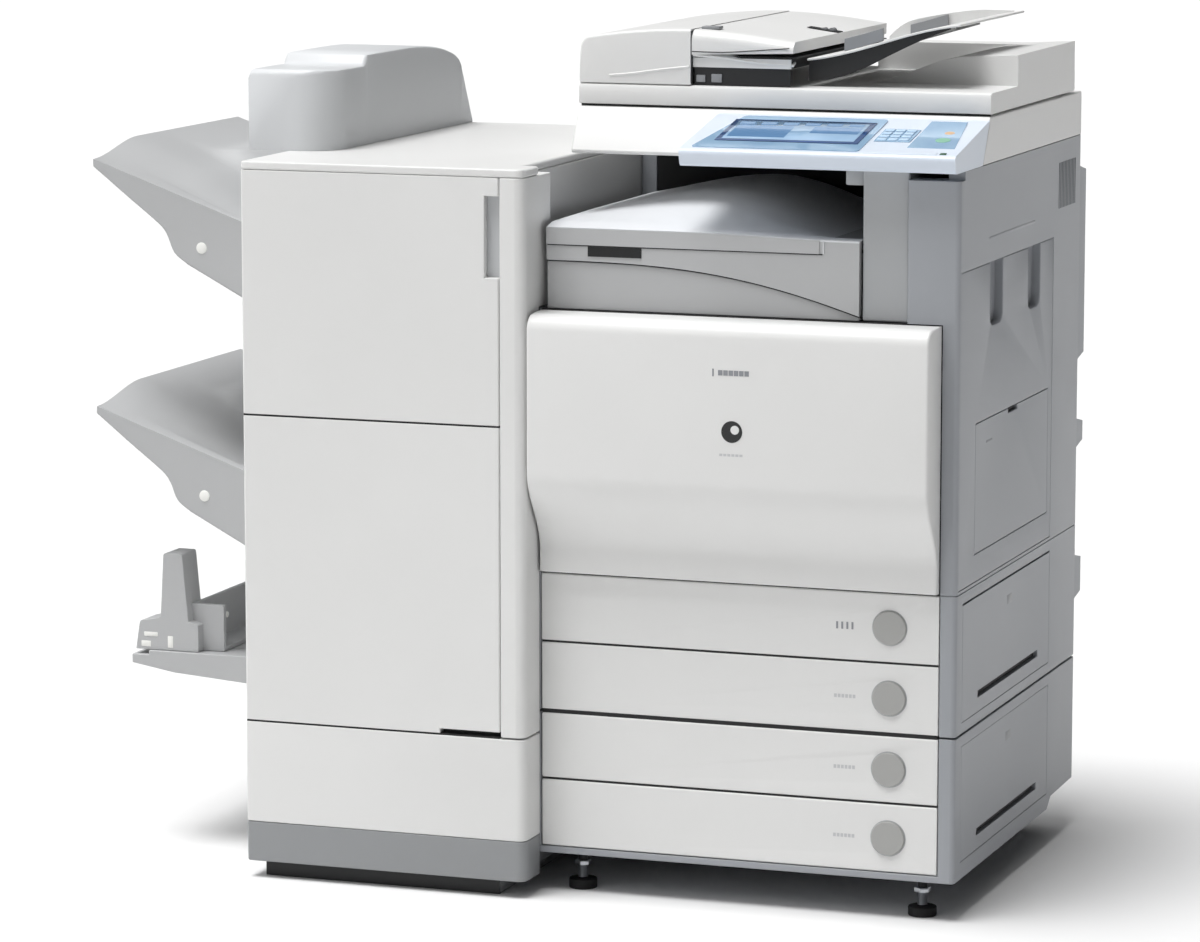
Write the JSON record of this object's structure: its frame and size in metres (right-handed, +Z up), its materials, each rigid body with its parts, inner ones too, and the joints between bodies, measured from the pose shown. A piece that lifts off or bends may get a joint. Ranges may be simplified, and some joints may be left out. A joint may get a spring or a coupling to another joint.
{
  "type": "photocopier",
  "caption": "Floor-standing colour photocopier with paper pedestal, tilting document feeder, bypass tray, and a stapling and booklet finisher at its left.",
  "frame": {"origin": "on the floor, under the centre of the footprint of the whole machine without its link lead", "axes": "+Z up, front towards -Y, right-hand side with the bypass tray towards +X"},
  "size_m": [1.181, 0.7203, 1.1017],
  "materials": {
    "dark_frame": "matt black",
    "tray_grey": "fine textured moulding",
    "grey_cover": "fine textured moulding",
    "rubber": "matt",
    "panel_blue": "clear glossy cover over pale blue",
    "white_cover": "fine textured moulding",
    "button_grey": "satin",
    "cable_sheath": "satin sheath",
    "platen_glass": "polished",
    "start_green": "satin",
    "stop_amber": "satin",
    "toner_yellow": "satin",
    "toner_magenta": "satin",
    "toner_cyan": "satin",
    "screen_glass": "display behind a touch film"
  },
  "bodies": {
    "root": {"pedestal_frame": "grey_cover", "cassette_frame": "grey_cover", "engine_frame": "dark_frame", "left_cover": "grey_cover", "right_cover": "grey_cover", "rear_cover": "grey_cover", "link_cable": "cable_sheath", "bay_wall": "dark_frame", "delivery_column": "grey_cover", "output_tray_lower": "tray_grey", "output_tray_upper": "tray_grey", "scanner_housing": "white_cover", "platen_glass": "platen_glass", "control_panel": "panel_blue", "touch_screen": "screen_glass", "levelling_foot_left": "rubber", "levelling_foot_right": "rubber", "finisher_base": "grey_cover", "finisher_top": "white_cover", "finisher_cabinet": "white_cover", "finisher_pillar": "white_cover", "finisher_lower_panel": "white_cover", "finisher_hood": "grey_cover", "booklet_tray": "tray_grey", "toner_bottle_1": "toner_yellow", "toner_bottle_2": "toner_magenta", "toner_bottle_3": "toner_cyan", "toner_bottle_4": "dark_frame"},
    "feeder": {"feeder_base": "white_cover"},
    "feeder_hood": {"feeder_hood": "white_cover"},
    "document_tray": {"document_tray": "white_cover"},
    "paper_guide_front": {"paper_guide_front": "button_grey"},
    "paper_guide_rear": {"paper_guide_rear": "button_grey"},
    "feed_roller": {"feed_roller": "rubber"},
    "scan_carriage": {"scan_carriage": "dark_frame"},
    "keypad": {"keypad": "button_grey"},
    "start_key": {"start_key": "start_green"},
    "stop_key": {"stop_key": "stop_amber"},
    "front_cover": {"front_cover": "white_cover"},
    "right_door": {"right_door": "grey_cover"},
    "bypass_tray": {"bypass_tray": "grey_cover"},
    "cassette_door": {"cassette_door": "grey_cover"},
    "pedestal_door": {"pedestal_door": "grey_cover"},
    "drawer_1": {"drawer_1": "white_cover"},
    "drawer_button_1": {"drawer_button_1": "button_grey"},
    "drawer_2": {"drawer_2": "white_cover"},
    "drawer_button_2": {"drawer_button_2": "button_grey"},
    "drawer_3": {"drawer_3": "white_cover"},
    "drawer_button_3": {"drawer_button_3": "button_grey"},
    "drawer_4": {"drawer_4": "white_cover"},
    "drawer_button_4": {"drawer_button_4": "button_grey"},
    "caster_fork_right": {"caster_fork_right": "dark_frame"},
    "caster_wheel_right": {"caster_wheel_right": "rubber"},
    "caster_fork_left": {"caster_fork_left": "dark_frame"},
    "caster_wheel_left": {"caster_wheel_left": "rubber"},
    "finisher_upper_door": {"finisher_upper_door": "white_cover"},
    "finisher_lower_door": {"finisher_lower_door": "white_cover"},
    "stack_tray_upper": {"stack_tray_upper": "tray_grey"},
    "stack_tray_lower": {"stack_tray_lower": "tray_grey"},
    "booklet_stopper": {"booklet_stopper": "tray_grey"}
  },
  "joints": [
    {"name": "feeder_lift", "type": "hinge", "parent": "root", "child": "feeder", "pos_m": [0.3205, 0.2755, 0.9907], "axis": [-1, 0, 0], "range_deg": [0, 70]},
    {"name": "hood_open", "type": "hinge", "parent": "feeder", "child": "feeder_hood", "pos_m": [0.0505, 0.049, 1.0206], "axis": [0, -1, 0], "range_deg": [0, 75]},
    {"name": "document_tray_lift", "type": "hinge", "parent": "feeder", "child": "document_tray", "pos_m": [0.3385, 0.0325, 1.0427], "axis": [0, -1, 0], "range_deg": [0, 35]},
    {"name": "guide_front_slide", "type": "slide", "parent": "document_tray", "child": "paper_guide_front", "axis": [0, 1, 0], "range_m": [0, 0.07]},
    {"name": "guide_rear_slide", "type": "slide", "parent": "document_tray", "child": "paper_guide_rear", "axis": [0, -1, 0], "range_m": [0, 0.07]},
    {"name": "feed_roller_spin", "type": "hinge", "parent": "feeder", "child": "feed_roller", "pos_m": [0.2605, 0.0325, 1.0587], "axis": [0, 1, 0], "continuous": true},
    {"name": "scan_travel", "type": "slide", "parent": "root", "child": "scan_carriage", "axis": [1, 0, 0], "range_m": [0, 0.38]},
    {"name": "keypad_press", "type": "slide", "parent": "root", "child": "keypad", "axis": [0, 0.2, -0.9798], "range_m": [0, 0.0015], "stiffness_N_per_m": 600},
    {"name": "start_key_press", "type": "slide", "parent": "root", "child": "start_key", "axis": [0, 0.2, -0.9798], "range_m": [0, 0.0015], "stiffness_N_per_m": 600},
    {"name": "stop_key_press", "type": "slide", "parent": "root", "child": "stop_key", "axis": [0, 0.2, -0.9798], "range_m": [0, 0.0015], "stiffness_N_per_m": 600},
    {"name": "front_cover_open", "type": "hinge", "parent": "root", "child": "front_cover", "pos_m": [0.308, -0.3045, 0.4146], "axis": [1, 0, 0], "range_deg": [0, 65]},
    {"name": "right_door_open", "type": "hinge", "parent": "root", "child": "right_door", "pos_m": [0.5905, 0.1595, 0.61325], "axis": [0, 0, 1], "range_deg": [0, 80]},
    {"name": "bypass_open", "type": "hinge", "parent": "right_door", "child": "bypass_tray", "pos_m": [0.5905, -0.0365, 0.452], "axis": [0, 1, 0], "range_deg": [0, 70]},
    {"name": "cassette_door_open", "type": "hinge", "parent": "root", "child": "cassette_door", "pos_m": [0.5905, 0.1595, 0.32235], "axis": [0, 0, 1], "range_deg": [0, 80]},
    {"name": "pedestal_door_open", "type": "hinge", "parent": "root", "child": "pedestal_door", "pos_m": [0.5905, 0.1595, 0.1455], "axis": [0, 0, 1], "range_deg": [0, 80]},
    {"name": "drawer_1_pull", "type": "slide", "parent": "root", "child": "drawer_1", "axis": [0, -1, 0], "range_m": [0, 0.4]},
    {"name": "drawer_button_1_press", "type": "slide", "parent": "drawer_1", "child": "drawer_button_1", "axis": [0, 1, 0], "range_m": [0, 0.0035], "stiffness_N_per_m": 600},
    {"name": "drawer_2_pull", "type": "slide", "parent": "root", "child": "drawer_2", "axis": [0, -1, 0], "range_m": [0, 0.4]},
    {"name": "drawer_button_2_press", "type": "slide", "parent": "drawer_2", "child": "drawer_button_2", "axis": [0, 1, 0], "range_m": [0, 0.0035], "stiffness_N_per_m": 600},
    {"name": "drawer_3_pull", "type": "slide", "parent": "root", "child": "drawer_3", "axis": [0, -1, 0], "range_m": [0, 0.4]},
    {"name": "drawer_button_3_press", "type": "slide", "parent": "drawer_3", "child": "drawer_button_3", "axis": [0, 1, 0], "range_m": [0, 0.0035], "stiffness_N_per_m": 600},
    {"name": "drawer_4_pull", "type": "slide", "parent": "root", "child": "drawer_4", "axis": [0, -1, 0], "range_m": [0, 0.4]},
    {"name": "drawer_button_4_press", "type": "slide", "parent": "drawer_4", "child": "drawer_button_4", "axis": [0, 1, 0], "range_m": [0, 0.0035], "stiffness_N_per_m": 600},
    {"name": "caster_swivel_right", "type": "hinge", "parent": "root", "child": "caster_fork_right", "pos_m": [0.5255, 0.2275, 0.0497], "axis": [0, 0, 1], "continuous": true},
    {"name": "caster_roll_right", "type": "hinge", "parent": "caster_fork_right", "child": "caster_wheel_right", "pos_m": [0.5255, 0.2435, 0.018], "axis": [1, 0, 0], "continuous": true},
    {"name": "caster_swivel_left", "type": "hinge", "parent": "root", "child": "caster_fork_left", "pos_m": [0.0905, 0.2275, 0.0497], "axis": [0, 0, 1], "continuous": true},
    {"name": "caster_roll_left", "type": "hinge", "parent": "caster_fork_left", "child": "caster_wheel_left", "pos_m": [0.0905, 0.2435, 0.018], "axis": [1, 0, 0], "continuous": true},
    {"name": "finisher_upper_door_open", "type": "hinge", "parent": "root", "child": "finisher_upper_door", "pos_m": [-0.3355, -0.3505, 0.758], "axis": [0, 0, -1], "range_deg": [0, 100]},
    {"name": "finisher_lower_door_open", "type": "hinge", "parent": "root", "child": "finisher_lower_door", "pos_m": [-0.3355, -0.3505, 0.404], "axis": [0, 0, -1], "range_deg": [0, 100]},
    {"name": "stack_tray_upper_drop", "type": "slide", "parent": "root", "child": "stack_tray_upper", "axis": [0, 0, -1], "range_m": [0, 0.14]},
    {"name": "stack_tray_lower_drop", "type": "slide", "parent": "root", "child": "stack_tray_lower", "axis": [0, 0, -1], "range_m": [0, 0.036]},
    {"name": "booklet_stopper_slide", "type": "slide", "parent": "root", "child": "booklet_stopper", "axis": [1, 0, 0], "range_m": [0, 0.06]}
  ],
  "couplings": [
    {"joint": "guide_rear_slide", "follows": "guide_front_slide", "ratio": 1}
  ]
}
